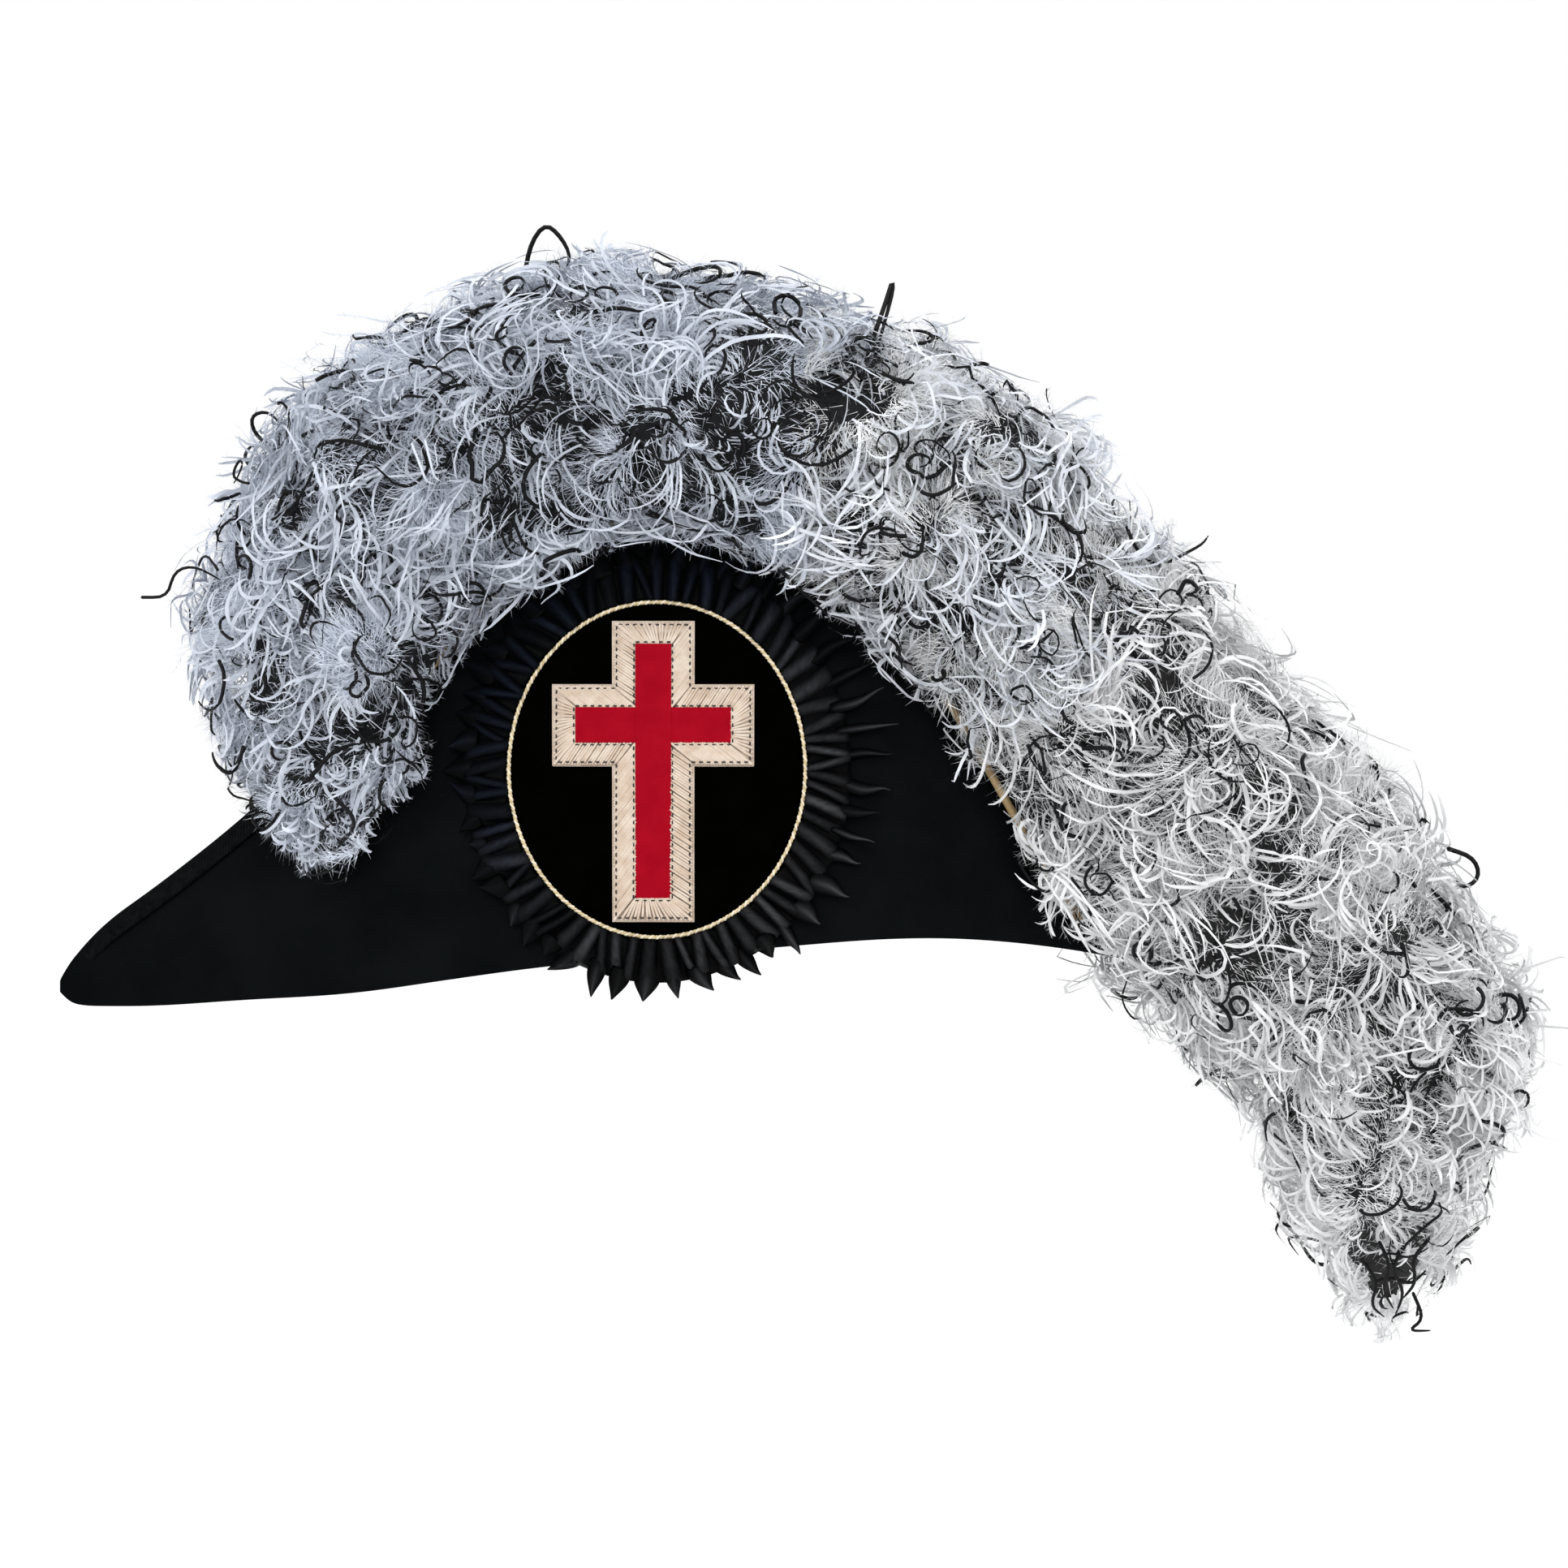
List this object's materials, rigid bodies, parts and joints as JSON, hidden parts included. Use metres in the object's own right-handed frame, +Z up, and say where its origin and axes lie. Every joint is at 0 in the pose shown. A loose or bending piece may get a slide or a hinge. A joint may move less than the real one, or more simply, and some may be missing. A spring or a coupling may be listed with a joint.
{
  "type": "plumed chapeau",
  "caption": "Fore-and-aft dress hat of black felt with a silk rosette, a velvet medallion bearing a red cross, and an ostrich plume over the crest that hangs behind.",
  "frame": {"origin": "middle of the head opening, level with the rim, where a head holds the hat", "axes": "+X towards the back peak and the plume's tail, -X towards the front peak, -Y towards the wearer's left side with the rosette, +Z up"},
  "size_m": [0.5024, 0.1766, 0.3643],
  "materials": {
    "felt": "brushed black fur felt",
    "binding": "ribbed black woven binding",
    "silk": "gathered black silk ribbon with a low sheen",
    "velvet": "deep black velvet",
    "gold_cord": "twisted cream and gold cord",
    "bullion": "pale slanted bullion embroidery",
    "red_cloth": "plain red cloth",
    "feather": "curled white and black ostrich flues",
    "quill": "tan horn quill"
  },
  "bodies": {
    "root": {"left_fan": "felt", "right_fan": "felt", "crown": "felt", "brim_floor": "felt", "crest_binding": "binding", "rosette_ruching": "silk", "rosette_points": "silk", "medallion": "velvet", "medallion_cord": "gold_cord", "cross_border": "bullion", "cross_inlay": "red_cloth", "plume": "feather", "left_quill": "quill", "right_quill": "quill"}
  },
  "joints": []
}
